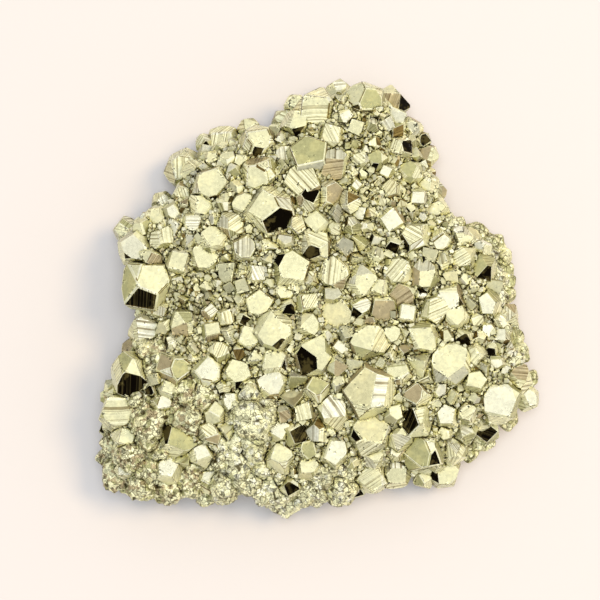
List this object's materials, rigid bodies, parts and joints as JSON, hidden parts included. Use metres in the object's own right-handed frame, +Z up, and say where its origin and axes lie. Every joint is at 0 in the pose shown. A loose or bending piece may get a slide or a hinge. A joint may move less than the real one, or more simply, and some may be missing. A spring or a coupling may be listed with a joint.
{
  "type": "pyrite crystal cluster",
  "caption": "Slab-like natural cluster of intergrown pale brass-yellow pyrite crystals, sawn flat below so that it lies level.",
  "frame": {"origin": "in the plane of the flat sawn base, under the middle of the plan's bounding box", "axes": "+Z up out of the base through the crystal crust, +Y towards the narrow shoulder, +X to the right of it"},
  "size_m": [0.0888, 0.0872, 0.0262],
  "materials": {
    "pyrite": "bright metallic crystal faces, finely striated"
  },
  "bodies": {
    "root": {"pyrite_cluster": "pyrite"}
  },
  "joints": []
}
